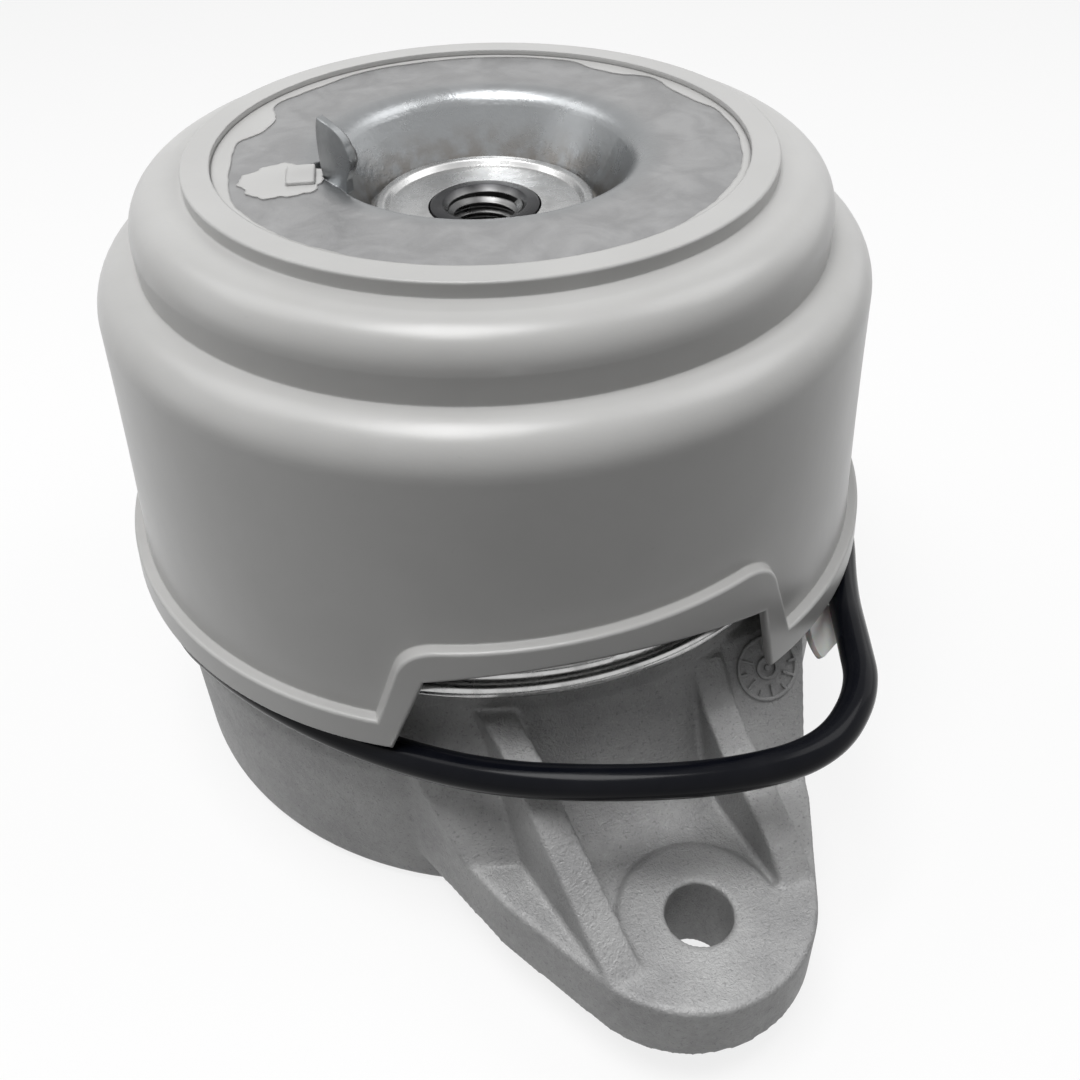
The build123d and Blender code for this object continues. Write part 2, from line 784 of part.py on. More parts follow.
turn = math.radians(tang_turn)
tang_across = (math.cos(turn), math.sin(turn), 0)
tang_face = (math.sin(turn), -math.cos(turn), 0)
with BuildPart() as tang:
    with BuildSketch(Plane.XY.offset(plate_top - plate_thickness)):
        with Locations(Location(tang_place, tang_turn)):
            with Locations((0, tang_curve_radius)):
                Circle(tang_curve_radius)
                Circle(tang_curve_radius - tang_wall, mode=Mode.SUBTRACT)
            with Locations((0, 2 * tang_curve_radius)):
                Rectangle(2 * tang_curve_radius, 2 * tang_curve_radius, mode=Mode.SUBTRACT)
    extrude(amount=tang_height + plate_thickness)
    leaf_plane = Plane(origin=(*tang_place, plate_top), x_dir=tang_across, z_dir=tang_face)
    with BuildSketch(leaf_plane.offset(-2 * tang_curve_radius)):
        with BuildLine():
            Line((-0.38 * tang_width, -plate_thickness), (-0.38 * tang_width, 0))
            ThreePointArc(
                (-0.38 * tang_width, 0),
                (-0.5 * tang_width, 0.45 * tang_height),
                (-0.3 * tang_width, tang_height),
            )
            ThreePointArc(
                (-0.3 * tang_width, tang_height),
                (0.16 * tang_width, 0.88 * tang_height),
                (0.44 * tang_width, 0.55 * tang_height),
            )
            ThreePointArc(
                (0.44 * tang_width, 0.55 * tang_height),
                (0.5 * tang_width, 0.3 * tang_height),
                (0.38 * tang_width, 0),
            )
            Line((0.38 * tang_width, 0), (0.38 * tang_width, -plate_thickness))
            Line((0.38 * tang_width, -plate_thickness), (-0.38 * tang_width, -plate_thickness))
        make_face()
    extrude(amount=4 * tang_curve_radius, mode=Mode.INTERSECT)

with BuildPart() as plate_with_tang:
    add(top_plate.part)
    add(tang.part)
plate_with_tang.part.label = "top_plate"
export_step(plate_with_tang.part, "parts/top_plate.step")

# Seat washer with its raised lip
washer_top = funnel_floor + washer_thickness
with BuildPart() as seat_washer:
    with BuildSketch(Plane.XZ) as washer_section:
        with BuildLine():
            Polyline(
                (hole_radius, funnel_floor),
                (washer_radius, funnel_floor),
                (washer_radius, washer_top + washer_lip_height),
                (washer_radius - washer_lip_width, washer_top + washer_lip_height),
                (washer_radius - 1.5 * washer_lip_width, washer_top),
                (hole_radius, washer_top),
                close=True,
            )
        make_face()
        for edge_radius in (washer_radius, washer_radius - washer_lip_width):
            lip_corner = near(washer_section.vertices(), edge_radius, washer_top + washer_lip_height, 0)
            fillet(lip_corner, washer_lip_width / 3)
    revolve(axis=Axis.Z)
seat_washer.part.label = "seat_washer"
export_step(seat_washer.part, "parts/seat_washer.step")

# Threaded insert
insert_top = washer_top + insert_proud
with BuildPart() as threaded_insert:
    with BuildSketch(Plane.XY.offset(insert_seat)):
        Circle(insert_radius)
    extrude(amount=insert_top - insert_seat)
    chamfer(threaded_insert.faces().sort_by(Axis.Z)[-1].edges(), insert_edge)
    with BuildSketch(Plane.XY.offset(insert_top)):
        Circle(thread_minor_radius)
    extrude(amount=-thread_depth, mode=Mode.SUBTRACT)
    mouth = threaded_insert.edges().filter_by(GeomType.CIRCLE).filter_by(lambda e: e.radius < insert_radius / 1.5)
    chamfer(mouth.sort_by(Axis.Z)[-1], thread_chamfer)
threaded_insert.part.label = "threaded_insert"
export_step(threaded_insert.part, "parts/threaded_insert.step")

# Protective cap: ring, two bulges and skirt as one thin wall


def bulge_section(inset):
    """Half section of the cap's outer form, filled to the axis and moved in by inset."""
    upper_r, upper_z = upper_bulge_centre
    lower_r, lower_z = lower_bulge_centre
    upper = upper_bulge_radius - inset
    lower = lower_bulge_radius - inset
    with BuildSketch(Plane.XZ, mode=Mode.PRIVATE) as section:
        with BuildLine():
            Line((0, upper_z + upper), (upper_r, upper_z + upper))
            CenterArc(upper_bulge_centre, upper, 90, -90)
            Line((upper_r + upper, upper_z), (upper_r + upper, lower_z + lower))
            Line((upper_r + upper, lower_z + lower), (lower_r, lower_z + lower))
            CenterArc(lower_bulge_centre, lower, 90, -90)
            ThreePointArc(
                (lower_r + lower, lower_z),
                (skirt_middle[0] - inset, skirt_middle[1]),
                (skirt_foot[0] - inset, skirt_foot[1]),
            )
            Line((skirt_foot[0] - inset, skirt_foot[1]), (0, skirt_foot[1]))
            Line((0, skirt_foot[1]), (0, upper_z + upper))
        make_face()
    return section.sketch


def skirt_band(inset):
    """Half section of a layer over the skirt, as thick as -inset."""
    lower_r, lower_z = lower_bulge_centre
    with BuildSketch(Plane.XZ, mode=Mode.PRIVATE) as section:
        with BuildLine():
            for shift in (0, inset):
                ThreePointArc(
                    (lower_r + lower_bulge_radius - shift, lower_z),
                    (skirt_middle[0] - shift, skirt_middle[1]),
                    (skirt_foot[0] - shift, skirt_foot[1]),
                )
            Line((lower_r + lower_bulge_radius, lower_z), (lower_r + lower_bulge_radius - inset, lower_z))
            Line(skirt_foot, (skirt_foot[0] - inset, skirt_foot[1]))
        make_face()
    return section.sketch


turn = math.radians(notch_turn)
notch_plane = Plane(
    origin=(0, 0, 0),
    x_dir=(math.cos(turn), math.sin(turn), 0),
    z_dir=(math.sin(turn), -math.cos(turn), 0),
)
below_rim = rim_edge - rim_band
band_top = rim_edge + rim_band
reach = bowl_radius + 4 * rim_step


def strip_outline(inset):
    """Raised strip round the notch, joined to the band along the rim, moved in by inset."""
    with BuildSketch(mode=Mode.PRIVATE) as outline:
        with BuildLine():
            Polyline(
                (strip_right_foot - inset, below_rim),
                (strip_right_top[0] - inset, strip_right_top[1] - inset),
                (strip_left_top[0] + inset, strip_left_top[1] - inset),
                (strip_left_foot + inset, below_rim),
                close=True,
            )
        make_face()
        for corner_x, corner_z in (strip_left_top, strip_right_top):
            inward = inset if corner_x < 0 else -inset
            corner = near(outline.vertices(), corner_x + inward, corner_z - inset, 0)
            fillet(corner, strip_corner_radius - inset)
    return outline.sketch


with BuildPart() as notch_strip:
    add(skirt_band(-rim_step))
    revolve(axis=Axis.Z)
    with BuildSketch(notch_plane):
        add(strip_outline(0))
    extrude(amount=reach, mode=Mode.INTERSECT)

with BuildPart() as rim_strip:
    add(skirt_band(-rim_step))
    revolve(axis=Axis.Z)
    with BuildSketch(Plane.XY.offset(below_rim)):
        Circle(reach)
    extrude(amount=band_top - below_rim, mode=Mode.INTERSECT)
    add(notch_strip.part)
    with BuildSketch(notch_plane):
        with BuildLine():
            Line((notch_left_foot, rim_edge), (notch_left_foot, below_rim))
            Line((notch_left_foot, below_rim), (notch_right_foot, below_rim))
            Line((notch_right_foot, below_rim), (notch_right_foot, rim_edge))
            Line((notch_right_foot, rim_edge), notch_right_top)
            ThreePointArc(notch_right_top, (0, notch_crown), notch_left_top)
            Line(notch_left_top, (notch_left_foot, rim_edge))
        make_face()
    extrude(amount=reach, mode=Mode.SUBTRACT)

with BuildPart() as protective_cap:
    add(bulge_section(0))
    revolve(axis=Axis.Z)
    add(bulge_section(cap_wall))
    revolve(axis=Axis.Z, mode=Mode.SUBTRACT)
    with BuildSketch(Plane.XZ) as ring_section:
        with BuildLine():
            Polyline(
                (cap_ring_inner, total_height),
                (cap_ring_outer, total_height),
                (cap_ring_outer, total_height - cap_ring_edge - cap_wall),
                (plate_radius - cap_lip_reach, total_height - cap_ring_edge - cap_wall),
                (plate_radius - cap_lip_reach, total_height - cap_ring_edge),
                (cap_ring_inner, total_height - cap_ring_edge),
                close=True,
            )
        make_face()
        fillet(near(ring_section.vertices(), cap_ring_outer, total_height, 0), cap_ring_round)
    revolve(axis=Axis.Z)
    with BuildSketch(Plane.XY.offset(core_top)):
        Circle(plate_radius - cap_lip_reach)
    extrude(amount=total_height - core_top, mode=Mode.SUBTRACT)
    with BuildSketch(Plane.XY.offset(plate_top - plate_thickness)):
        Circle(plate_radius)
    extrude(amount=plate_thickness, mode=Mode.SUBTRACT)
    with BuildSketch(Plane.XY.offset(below_rim)):
        Circle(reach)
    extrude(amount=band_top - cap_wall - below_rim, mode=Mode.SUBTRACT)
    with BuildSketch(notch_plane):
        add(strip_outline(cap_wall))
    extrude(amount=reach, mode=Mode.SUBTRACT)
    add(rim_strip.part)
    strip_face = near(protective_cap.faces(), -skirt_foot[0] - rim_step, 0, rim_edge + rim_band / 2)
    fillet(strip_face.edges().filter_by(lambda edge: abs((edge @ 0.5).Y) > fit_clearance), strip_edge_radius)
protective_cap.part.label = "protective_cap"
export_step(protective_cap.part, "parts/protective_cap.step")

# Nipples: stem in the casting, upright body and barrel aimed along the hose's first run


def nipple_axis(side):
    """Centre of a nipple's body and the unit direction of its barrel."""
    body = Vector(*polar(nipple_reach, side * nipple_turn), nipple_height)
    first_point = hose_points[0] if side > 0 else hose_points[-1]
    return body, (Vector(first_point) - body).normalized()


for name, side in nipple_sides.items():
    body_place, barrel_aim = nipple_axis(side)
    barrel_plane = Plane(origin=body_place, z_dir=barrel_aim)
    with BuildPart() as nipple:
        with BuildSketch(nipple_plane(side).offset(nipple_reach)):
            Circle(nipple_stem_radius)
        extrude(amount=-nipple_body_radius - nipple_seat_depth)
        with Locations(body_place):
            Cylinder(nipple_body_radius, 2 * nipple_body_height)
        fillet(nipple.edges().group_by(Axis.Z)[0], nipple_body_round)
        fillet(nipple.edges().group_by(Axis.Z)[-1], nipple_body_round)
        with BuildSketch(barrel_plane):
            Circle(hose_radius)
        extrude(amount=nipple_barrel)
        with BuildSketch(barrel_plane.offset(nipple_barrel)):
            Circle(nipple_bore_radius)
        extrude(amount=-nipple_barrel, mode=Mode.SUBTRACT)
        with BuildSketch(nipple_plane(side).offset(nipple_reach)):
            Circle(nipple_bore_radius)
        extrude(amount=-nipple_body_radius - nipple_seat_depth, mode=Mode.SUBTRACT)
    nipple.part.label = name
    export_step(nipple.part, f"parts/{name}.step")

# Breather hose: straight runs joined by tangent arcs, from nipple to nipple


def hose_end(side):
    """Centre of the nipple's mouth, where the hose begins."""
    body, aim = nipple_axis(side)
    return tuple(body + aim * nipple_barrel)


def bend_radii(points):
    """Radius at each inner point: 0.45 of the shorter run over the tangent of half the turn."""
    radii = []
    for before, here, after in zip(points, points[1:], points[2:]):
        run_in = Vector(here) - Vector(before)
        run_out = Vector(after) - Vector(here)
        half_turn = math.radians(run_in.get_angle(run_out)) / 2
        radii.append(0.45 * min(run_in.length, run_out.length) / math.tan(half_turn))
    return radii


hose_route = [hose_end(1), *hose_points, hose_end(-1)]
hose_bends = bend_radii(hose_route)
with BuildPart() as breather_hose:
    with BuildLine() as hose_path:
        FilletPolyline(*hose_route, radius=hose_bends)
    with BuildSketch(Plane(origin=hose_path.line @ 0, z_dir=hose_path.line % 0)):
        Circle(hose_radius)
    sweep(path=hose_path.line)
breather_hose.part.label = "breather_hose"
export_step(breather_hose.part, "parts/breather_hose.step")
hose_length = sum(piece.length for piece in hose_path.edges())
print("hose bend radii", [round(radius, 1) for radius in hose_bends])
print("hose length", round(hose_length, 1))
print("hose volume share", round(breather_hose.part.volume / (hose_length * math.pi * hose_radius**2), 4))

# Spring bands on the two hose ends
with BuildPart() as hose_clamps:
    for start, following in ((hose_route[0], hose_route[1]), (hose_route[-1], hose_route[-2])):
        run = Vector(following) - Vector(start)
        clamp_plane = Plane(origin=start, z_dir=run).offset(clamp_inset)
        with BuildSketch(clamp_plane):
            Circle(hose_radius + clamp_wall)
            Circle(hose_radius, mode=Mode.SUBTRACT)
        extrude(amount=clamp_width)
hose_clamps.part.label = "hose_clamps"
export_step(hose_clamps.part, "parts/hose_clamps.step")

# Guide tab hanging inside the cap's rim, next to the hose
tab_radius = skirt_foot[0] - tab_clearance
turn = math.radians(tab_turn)
tab_plane = Plane(
    origin=(0, 0, 0),
    x_dir=(math.cos(turn), math.sin(turn), 0),
    z_dir=(math.sin(turn), -math.cos(turn), 0),
)
with BuildPart() as hose_guide_tab:
    with BuildSketch(Plane.XY.offset(rim_edge - tab_drop)):
        Circle(tab_radius)
        Circle(tab_radius - tab_wall, mode=Mode.SUBTRACT)
    extrude(amount=tab_drop + tab_grip)
    with BuildSketch(tab_plane):
        with BuildLine():
            Polyline(
                (-tab_top_width / 2, rim_edge + tab_grip),
                (-tab_top_width / 2, rim_edge - tab_drop / 2),
                (-tab_tip_width / 2, rim_edge - tab_drop),
                (tab_tip_width / 2, rim_edge - tab_drop),
                (tab_top_width / 2, rim_edge - tab_drop / 3),
                (tab_top_width / 2, rim_edge + tab_grip),
                close=True,
            )
        make_face()
    extrude(amount=reach, mode=Mode.INTERSECT)
hose_guide_tab.part.label = "hose_guide_tab"
export_step(hose_guide_tab.part, "parts/hose_guide_tab.step")
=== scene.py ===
# %% [markdown]
# A hydraulic engine mount: a cast aluminium base with a bolt ear, a steel can, and a moulded
# cap over both. The solid model is loaded first as a fixed frame. Everything below dresses
# that frame, in metres, and nothing here moves it.

# %% Load the frame
import math
import random

import bpy
from mathutils import Matrix, Vector


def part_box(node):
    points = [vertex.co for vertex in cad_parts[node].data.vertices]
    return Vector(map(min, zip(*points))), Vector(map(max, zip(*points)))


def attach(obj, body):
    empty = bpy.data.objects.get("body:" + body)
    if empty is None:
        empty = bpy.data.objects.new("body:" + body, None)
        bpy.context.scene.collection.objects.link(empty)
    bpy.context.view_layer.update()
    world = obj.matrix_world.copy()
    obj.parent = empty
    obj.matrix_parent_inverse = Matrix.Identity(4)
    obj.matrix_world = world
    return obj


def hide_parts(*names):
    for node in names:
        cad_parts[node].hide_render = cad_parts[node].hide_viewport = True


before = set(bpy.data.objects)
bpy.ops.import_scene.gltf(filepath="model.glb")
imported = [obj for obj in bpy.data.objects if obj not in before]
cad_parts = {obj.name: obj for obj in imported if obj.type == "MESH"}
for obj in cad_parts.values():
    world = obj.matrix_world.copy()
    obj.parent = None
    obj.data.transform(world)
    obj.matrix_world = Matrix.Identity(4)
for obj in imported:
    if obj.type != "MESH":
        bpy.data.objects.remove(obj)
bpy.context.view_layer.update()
MM = 0.001
print("frame nodes:", len(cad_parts))

# %% [markdown]
# The camera stands above and a little left of the ear, close enough for strong perspective.
# Its place, direction, roll and lens were worked out from the circles of the cap and the
# corners of the ear, so it is written here as numbers and not moved by eye.

# %% Camera
FORWARD = Vector((0.2682, 0.7013, -0.6605)).normalized()
SIDEWAYS = Vector((0.934, -0.357, 0.0)).normalized()
ROLL = math.radians(-1.127)
FOCAL_PIXELS = 1114.4
FRAME_PIXELS = 1080
SENSOR = 36.0
CAMERA_PLACE = Vector((-53.92, -163.03, 176.95)) * MM
NEAREST_SEEN = 5.0 * MM


def camera_matrix(place):
    """World matrix of a camera at a place, looking along FORWARD with the roll."""
    upward = SIDEWAYS.cross(FORWARD)
    right = math.cos(ROLL) * SIDEWAYS + math.sin(ROLL) * upward
    up = math.cos(ROLL) * upward - math.sin(ROLL) * SIDEWAYS
    turned = Matrix((right, up, -FORWARD)).transposed().to_4x4()
    turned.translation = place
    return turned


bpy.ops.object.camera_add()
camera = bpy.context.object
camera.name = "camera"
camera.matrix_world = camera_matrix(CAMERA_PLACE)
camera.data.sensor_width = SENSOR
camera.data.lens = SENSOR * FOCAL_PIXELS / FRAME_PIXELS
camera.data.clip_start = NEAREST_SEEN
bpy.context.scene.camera = camera
bpy.context.scene.view_settings.view_transform = "Standard"
print("lens", round(camera.data.lens, 2), "mm")

# %% [markdown]
# Helpers for modelling. Operators act on everything that is selected, so each piece starts
# with a clean selection. Modifiers are applied at once, so that each piece ends as
# a plain mesh that can be exported.

# %% Small helpers
ROUND_SIDES = 96
WELD_WITHIN = 0.001 * MM


def only(piece):
    """Makes one object the whole selection and the active one."""
    bpy.ops.object.select_all(action="DESELECT")
    piece.select_set(True)
    bpy.context.view_layer.objects.active = piece


def put_away(piece, name):
    """Names a finished piece, applies its place and lets it ride with the mount."""
    only(piece)
    bpy.ops.object.transform_apply(location=True, rotation=True, scale=True)
    piece.name = name
    piece.data.name = name
    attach(piece, "root")
    print(name, "faces", len(piece.data.polygons))


def face_outward():
    """Turns every face of the active piece outward."""
    bpy.ops.object.mode_set(mode="EDIT")
    bpy.ops.mesh.select_all(action="SELECT")
    bpy.ops.mesh.normals_make_consistent(inside=False)
    bpy.ops.object.mode_set(mode="OBJECT")


def carry_out(piece, name, kind, **settings):
    """Adds a modifier to the active piece, sets its values and applies it."""
    modifier = piece.modifiers.new(name, kind)
    for setting, value in settings.items():
        setattr(modifier, setting, value)
    bpy.ops.object.modifier_apply(modifier=modifier.name)


def flat_ring(outer, width, sides, place=(0.0, 0.0, 0.0)):
    """A flat ring about a place: a circle whose copy is drawn in by the width."""
    bpy.ops.mesh.primitive_circle_add(vertices=sides, radius=outer, location=place)
    ring = bpy.context.object
    bpy.ops.object.mode_set(mode="EDIT")
    bpy.ops.mesh.select_all(action="SELECT")
    bpy.ops.mesh.extrude_region_move()
    shrink = (outer - width) / outer
    bpy.ops.transform.resize(value=(shrink, shrink, 1.0), center_override=place)
    bpy.ops.object.mode_set(mode="OBJECT")
    face_outward()
    return ring


def thicken(piece, thickness, easing=0.0):
    """Thickens a flat piece to both sides, and rounds its edges where easing is given."""
    only(piece)
    carry_out(piece, "relief", "SOLIDIFY", thickness=thickness, offset=0.0)
    if easing:
        carry_out(piece, "easing", "BEVEL", width=easing, segments=2)


def join(pieces):
    """Joins pieces into the first of them."""
    only(pieces[0])
    for piece in pieces:
        piece.select_set(True)
    bpy.ops.object.join()
    return bpy.context.object


# %% [markdown]
# The hose is one smooth line from nipple to nipple. It leaves the air nipple on the right,
# swings out round the ear, crosses the ribs and goes back under the cap's rim on the left.
# A curve with a round bevel is the natural tool: its control points are the route.

# %% Breather hose
HOSE_RADIUS = 2.7 * MM
HOSE_ROUTE = [
    (64.02, 4.27, 38.0),
    (64.6, -15.0, 38.0),
    (56.4, -34.0, 38.2),
    (46.2, -50.0, 39.0),
    (39.8, -62.6, 41.5),
    (34.2, -73.8, 43.0),
    (22.6, -81.6, 42.8),
    (7.0, -80.2, 42.7),
    (-9.5, -74.6, 42.6),
    (-25.6, -65.8, 41.2),
    (-38.6, -53.4, 39.2),
    (-49.3, -40.4, 38.4),
    (-57.6, -27.0, 38.2),
    (-63.6, -12.8, 38.1),
    (-63.75, 4.25, 38.03),
]
hose_line = bpy.data.curves.new("breather_tube", "CURVE")
hose_line.dimensions = "3D"
hose_spline = hose_line.splines.new("NURBS")
hose_spline.points.add(len(HOSE_ROUTE) - 1)
for point, place in zip(hose_spline.points, HOSE_ROUTE):
    point.co = (*(Vector(place) * MM), 1.0)
hose_spline.order_u = 3
hose_spline.use_endpoint_u = True
hose_line.resolution_u = 12
hose = bpy.data.objects.new("breather_tube", hose_line)
bpy.context.scene.collection.objects.link(hose)
hose_middle = bpy.data.meshes.new_from_object(hose)
hose_line.bevel_depth = HOSE_RADIUS
hose_line.bevel_resolution = 9
hose_line.use_fill_caps = True
only(hose)
bpy.ops.object.convert(target="MESH")
hose = bpy.context.object
bpy.ops.object.shade_smooth_by_angle(angle=math.radians(40))
put_away(hose, "breather_tube")
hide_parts("breather_hose")

# %% [markdown]
# A die casting has no sharp edge anywhere: metal that cools in a die keeps a radius of about a
# millimetre, and shot blasting rounds it further. The solid's edges are sharp, so a copy of it
# is made here, remeshed into small even cubes and smoothed, which rounds every edge at once
# and keeps the flat walls flat. A bevel would stop at each of the many short edges. The bolt's
# bore looks deeper than the ear plate, so a short sleeve under the plate is joined in first.

# %% Cast body with rounded edges
SLEEVE_PLACE = Vector((0.0, -87.2, 0.0)) * MM
SLEEVE_OUTER = 8.3 * MM
SLEEVE_BORE = 5.3 * MM
SLEEVE_FOOT = 3.2 * MM
SLEEVE_TOP = 9.6 * MM
CAST_VOXEL = 0.45 * MM
CAST_SOFTENING = 0.5
CAST_PASSES = 4
CAST_FACES = 190000
sleeve_middle = SLEEVE_PLACE + Vector((0.0, 0.0, 0.5 * (SLEEVE_FOOT + SLEEVE_TOP)))
sleeve = flat_ring(SLEEVE_OUTER, SLEEVE_OUTER - SLEEVE_BORE, ROUND_SIDES, sleeve_middle)
thicken(sleeve, SLEEVE_TOP - SLEEVE_FOOT)
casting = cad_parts["base_casting"]
cast_body = bpy.data.objects.new("cast_body", casting.data.copy())
bpy.context.scene.collection.objects.link(cast_body)
only(cast_body)
bpy.ops.object.mode_set(mode="EDIT")
bpy.ops.mesh.select_all(action="SELECT")
bpy.ops.mesh.remove_doubles(threshold=WELD_WITHIN)
bpy.ops.object.mode_set(mode="OBJECT")
cast_body = join([cast_body, sleeve])
carry_out(cast_body, "even_cubes", "REMESH", mode="VOXEL", voxel_size=CAST_VOXEL)
carry_out(cast_body, "blasted_edges", "SMOOTH", factor=CAST_SOFTENING, iterations=CAST_PASSES)
cast_triangles = sum(len(face.vertices) - 2 for face in cast_body.data.polygons)
carry_out(cast_body, "thinning", "DECIMATE", ratio=min(1.0, CAST_FACES / cast_triangles))
bpy.ops.object.shade_smooth()
put_away(cast_body, "cast_body")
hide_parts("base_casting")
print("cast triangles before thinning", cast_triangles)

# %% [markdown]
# Foundries cast a date wheel into each part: a small raised ring with radial ticks and a dot.
# The two rings, the dot and the ticks start as flat shapes, long and short ticks in turn, and
# each is thickened with eased edges. The wheel is built flat at the origin and then turned onto
# the sloping wall right of the right rib.

# %% Date wheel
WHEEL_RADIUS = 5.6 * MM
WHEEL_LINE = 0.62 * MM
WHEEL_RELIEF = 0.45 * MM
WHEEL_TICKS = 12
WHEEL_CENTRE = Vector((25.9, -59.3, 37.25)) * MM
WHEEL_SLOPE = math.atan(1.36)
HUB_RADIUS = 0.36 * WHEEL_RADIUS
DOT_RADIUS = 0.9 * WHEEL_LINE
TICK_OUTER = 0.9 * WHEEL_RADIUS
LONG_TICK_INNER = 0.52 * WHEEL_RADIUS
SHORT_TICK_INNER = 0.68 * WHEEL_RADIUS
TICK_WIDTH = 0.8 * WHEEL_LINE
WHEEL_EASING = 0.3 * WHEEL_RELIEF

wheel_parts = [
    flat_ring(WHEEL_RADIUS, WHEEL_LINE, sides=64),
    flat_ring(HUB_RADIUS, WHEEL_LINE, sides=40),
]
bpy.ops.mesh.primitive_circle_add(vertices=20, radius=DOT_RADIUS, fill_type="NGON")
wheel_parts.append(bpy.context.object)
for step in range(WHEEL_TICKS):
    turn = 2 * math.pi * step / WHEEL_TICKS
    tick_inner = LONG_TICK_INNER if step % 2 else SHORT_TICK_INNER
    place = Vector((0.5 * (tick_inner + TICK_OUTER), 0.0, 0.0))
    place.rotate(Matrix.Rotation(turn, 3, "Z"))
    bpy.ops.mesh.primitive_plane_add(size=1.0, location=place, rotation=(0.0, 0.0, turn))
    tick = bpy.context.object
    tick.scale = (TICK_OUTER - tick_inner, TICK_WIDTH, 1.0)
    only(tick)
    bpy.ops.object.transform_apply(location=False, rotation=False, scale=True)
    wheel_parts.append(tick)
for part in wheel_parts:
    thicken(part, 2 * WHEEL_RELIEF, WHEEL_EASING)
date_wheel = join(wheel_parts)
date_wheel.rotation_euler = (WHEEL_SLOPE, 0.0, 0.0)
date_wheel.location = WHEEL_CENTRE
put_away(date_wheel, "date_wheel")

# %% [markdown]
# The insert carries a real M12 thread. Its wall is a half section spun round the axis, and the
# ridge of the thread is one small profile carried up a helix by the Screw modifier, which is
# how a single-point tool cuts it.

# %% Threaded insert
INSERT_LOW, INSERT_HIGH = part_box("threaded_insert")
INSERT_RADIUS = INSERT_HIGH[0]
INSERT_TOP = INSERT_HIGH[2]
THREAD_MAJOR = 6.0 * MM
THREAD_MINOR = 5.1 * MM
THREAD_PITCH = 1.75 * MM
THREAD_DEPTH = 27.0 * MM
INSERT_CHAMFER = 0.7 * MM
MOUTH_CHAMFER = 0.9 * MM
CHAMFER_BREAK = 0.3 * INSERT_CHAMFER
# Half widths of the ridge at its root and its crest, as shares of the pitch
ROOT_SHARE = 0.42
CREST_SHARE = 0.07
THREAD_SINK = 0.05 * MM
THREAD_LEAD_IN = 0.4 * MOUTH_CHAMFER
HELIX_STEPS = 48


def outline_piece(name, points, closed):
    """A mesh of straight edges through points in the XZ plane."""
    mesh = bpy.data.meshes.new(name)
    edges = [(here, here + 1) for here in range(len(points) - 1)]
    if closed:
        edges.append((len(points) - 1, 0))
    mesh.from_pydata([(across, 0.0, up) for across, up in points], edges, [])
    piece = bpy.data.objects.new(name, mesh)
    bpy.context.scene.collection.objects.link(piece)
    only(piece)
    return piece


insert = outline_piece(
    "insert",
    [
        (0.0, INSERT_LOW[2]),
        (INSERT_RADIUS - INSERT_CHAMFER, INSERT_LOW[2]),
        (INSERT_RADIUS, INSERT_LOW[2] + INSERT_CHAMFER),
        (INSERT_RADIUS, INSERT_TOP - INSERT_CHAMFER),
        (INSERT_RADIUS - CHAMFER_BREAK, INSERT_TOP - CHAMFER_BREAK),
        (INSERT_RADIUS - INSERT_CHAMFER, INSERT_TOP),
        (THREAD_MAJOR + MOUTH_CHAMFER, INSERT_TOP),
        (THREAD_MAJOR, INSERT_TOP - MOUTH_CHAMFER),
        (THREAD_MAJOR, INSERT_TOP - THREAD_DEPTH),
        (0.0, INSERT_TOP - THREAD_DEPTH),
    ],
    closed=False,
)
bpy.ops.object.mode_set(mode="EDIT")
bpy.ops.mesh.select_all(action="SELECT")
bpy.ops.mesh.spin(
    steps=ROUND_SIDES, angle=2 * math.pi, center=(0.0, 0.0, 0.0), axis=(0.0, 0.0, 1.0)
)
bpy.ops.mesh.select_all(action="SELECT")
bpy.ops.mesh.remove_doubles(threshold=WELD_WITHIN)
bpy.ops.mesh.normals_make_consistent(inside=False)
bpy.ops.object.mode_set(mode="OBJECT")

thread_turns = int((THREAD_DEPTH - MOUTH_CHAMFER) / THREAD_PITCH)
thread_start = INSERT_TOP - THREAD_LEAD_IN - (thread_turns + ROOT_SHARE) * THREAD_PITCH
thread = outline_piece(
    "thread",
    [
        (THREAD_MAJOR + THREAD_SINK, thread_start - ROOT_SHARE * THREAD_PITCH),
        (THREAD_MINOR, thread_start - CREST_SHARE * THREAD_PITCH),
        (THREAD_MINOR, thread_start + CREST_SHARE * THREAD_PITCH),
        (THREAD_MAJOR + THREAD_SINK, thread_start + ROOT_SHARE * THREAD_PITCH),
    ],
    closed=True,
)
carry_out(
    thread,
    "helix",
    "SCREW",
    axis="Z",
    angle=2 * math.pi,
    screw_offset=THREAD_PITCH,
    iterations=thread_turns,
    steps=HELIX_STEPS,
    render_steps=HELIX_STEPS,
)
bpy.ops.object.mode_set(mode="EDIT")
bpy.ops.mesh.select_mode(type="EDGE")
bpy.ops.mesh.select_all(action="DESELECT")
bpy.ops.mesh.select_non_manifold()
bpy.ops.mesh.fill_holes(sides=0)
bpy.ops.object.mode_set(mode="OBJECT")
face_outward()
insert = join([insert, thread])
bpy.ops.object.shade_smooth_by_angle(angle=math.radians(28))
put_away(insert, "insert")
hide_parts("threaded_insert")
print("thread turns", thread_turns)

# %% [markdown]
# The cap is moulded over the plate's rim, and a paper-thin skin of plastic has run out over
# the metal. Its edge is ragged: wide at the back left, thin along the right. A flat ring is
# made, its inner edge is moved in or out by a sum of waves, and it is then thickened. A ragged
# patch of the same skin lies by the tang, with a small square plug on it.

# %% Flash skin on the plate
PLATE_TOP = 108.5 * MM
FLASH_OUTER = 41.45 * MM
FLASH_THICKNESS = 0.16 * MM
FLASH_SIDES = 360
